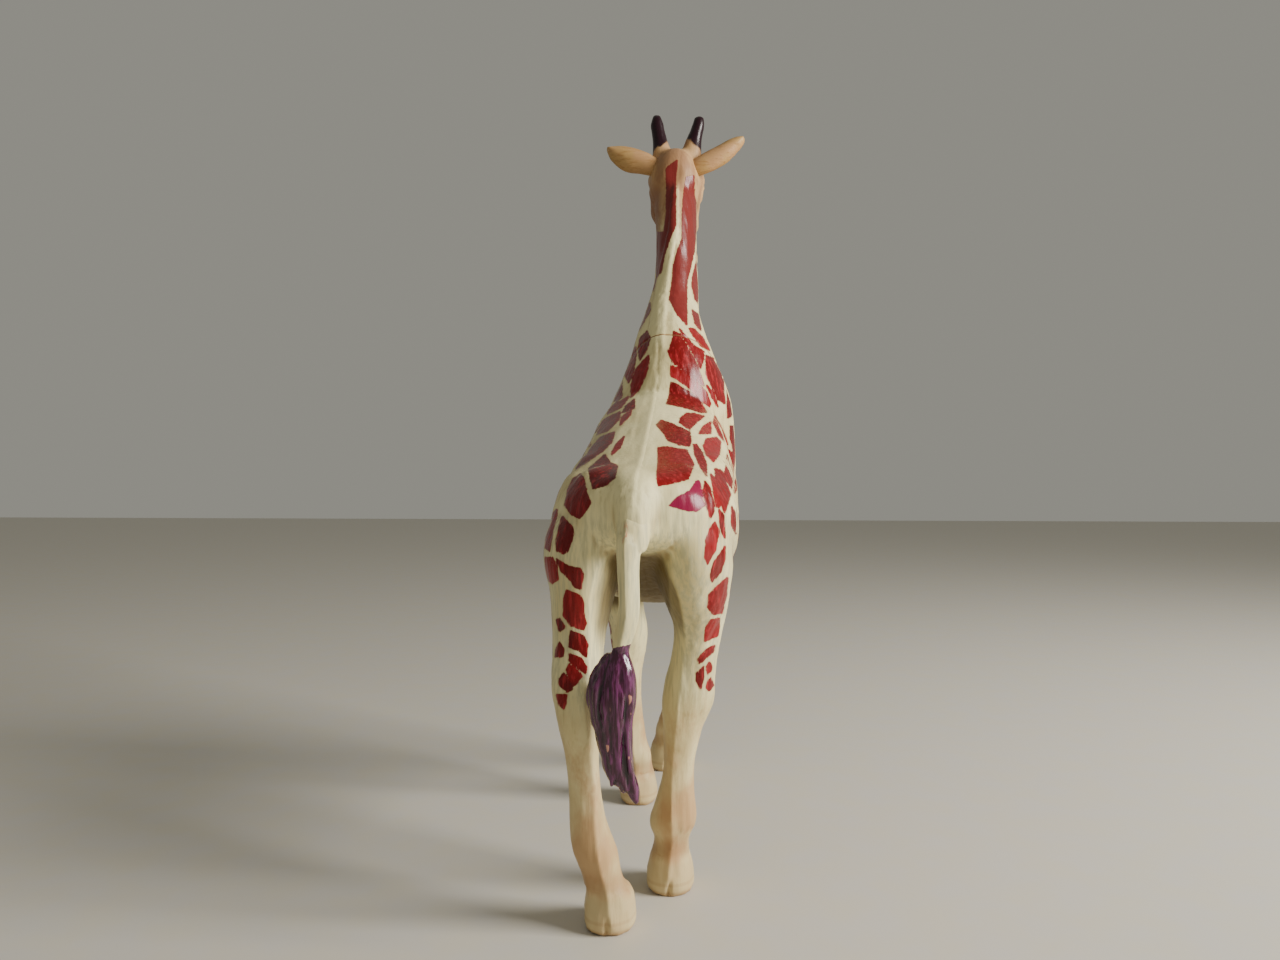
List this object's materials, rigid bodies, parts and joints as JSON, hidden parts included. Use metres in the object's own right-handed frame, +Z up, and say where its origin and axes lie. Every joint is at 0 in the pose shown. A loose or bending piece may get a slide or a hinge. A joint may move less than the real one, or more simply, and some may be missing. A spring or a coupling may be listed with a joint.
{
  "type": "giraffe figurine",
  "caption": "Standing giraffe figure in painted moulded plastic, in mid stride on cloven hooves, with a raised neck, horns, ears and a hanging tufted tail.",
  "frame": {"origin": "centre of the bounding box, on the surface that the hooves stand on", "axes": "+Z up, +Y the way the giraffe faces, +X its right side"},
  "size_m": [0.067, 0.2046, 0.2989],
  "materials": {
    "painted_body": "glossy hand-painted cream with red-brown patches",
    "painted_head": "glossy hand-painted cream with red-brown patches and dark horn tips",
    "painted_ear": "satin tan",
    "painted_tail": "cream tail with a glossy dark purple tuft"
  },
  "bodies": {
    "root": {"body_left_shell": "painted_body", "body_right_shell": "painted_body", "neck_left_shell": "painted_head", "neck_right_shell": "painted_head", "left_ear": "painted_ear", "right_ear": "painted_ear", "tail": "painted_tail"}
  },
  "joints": []
}
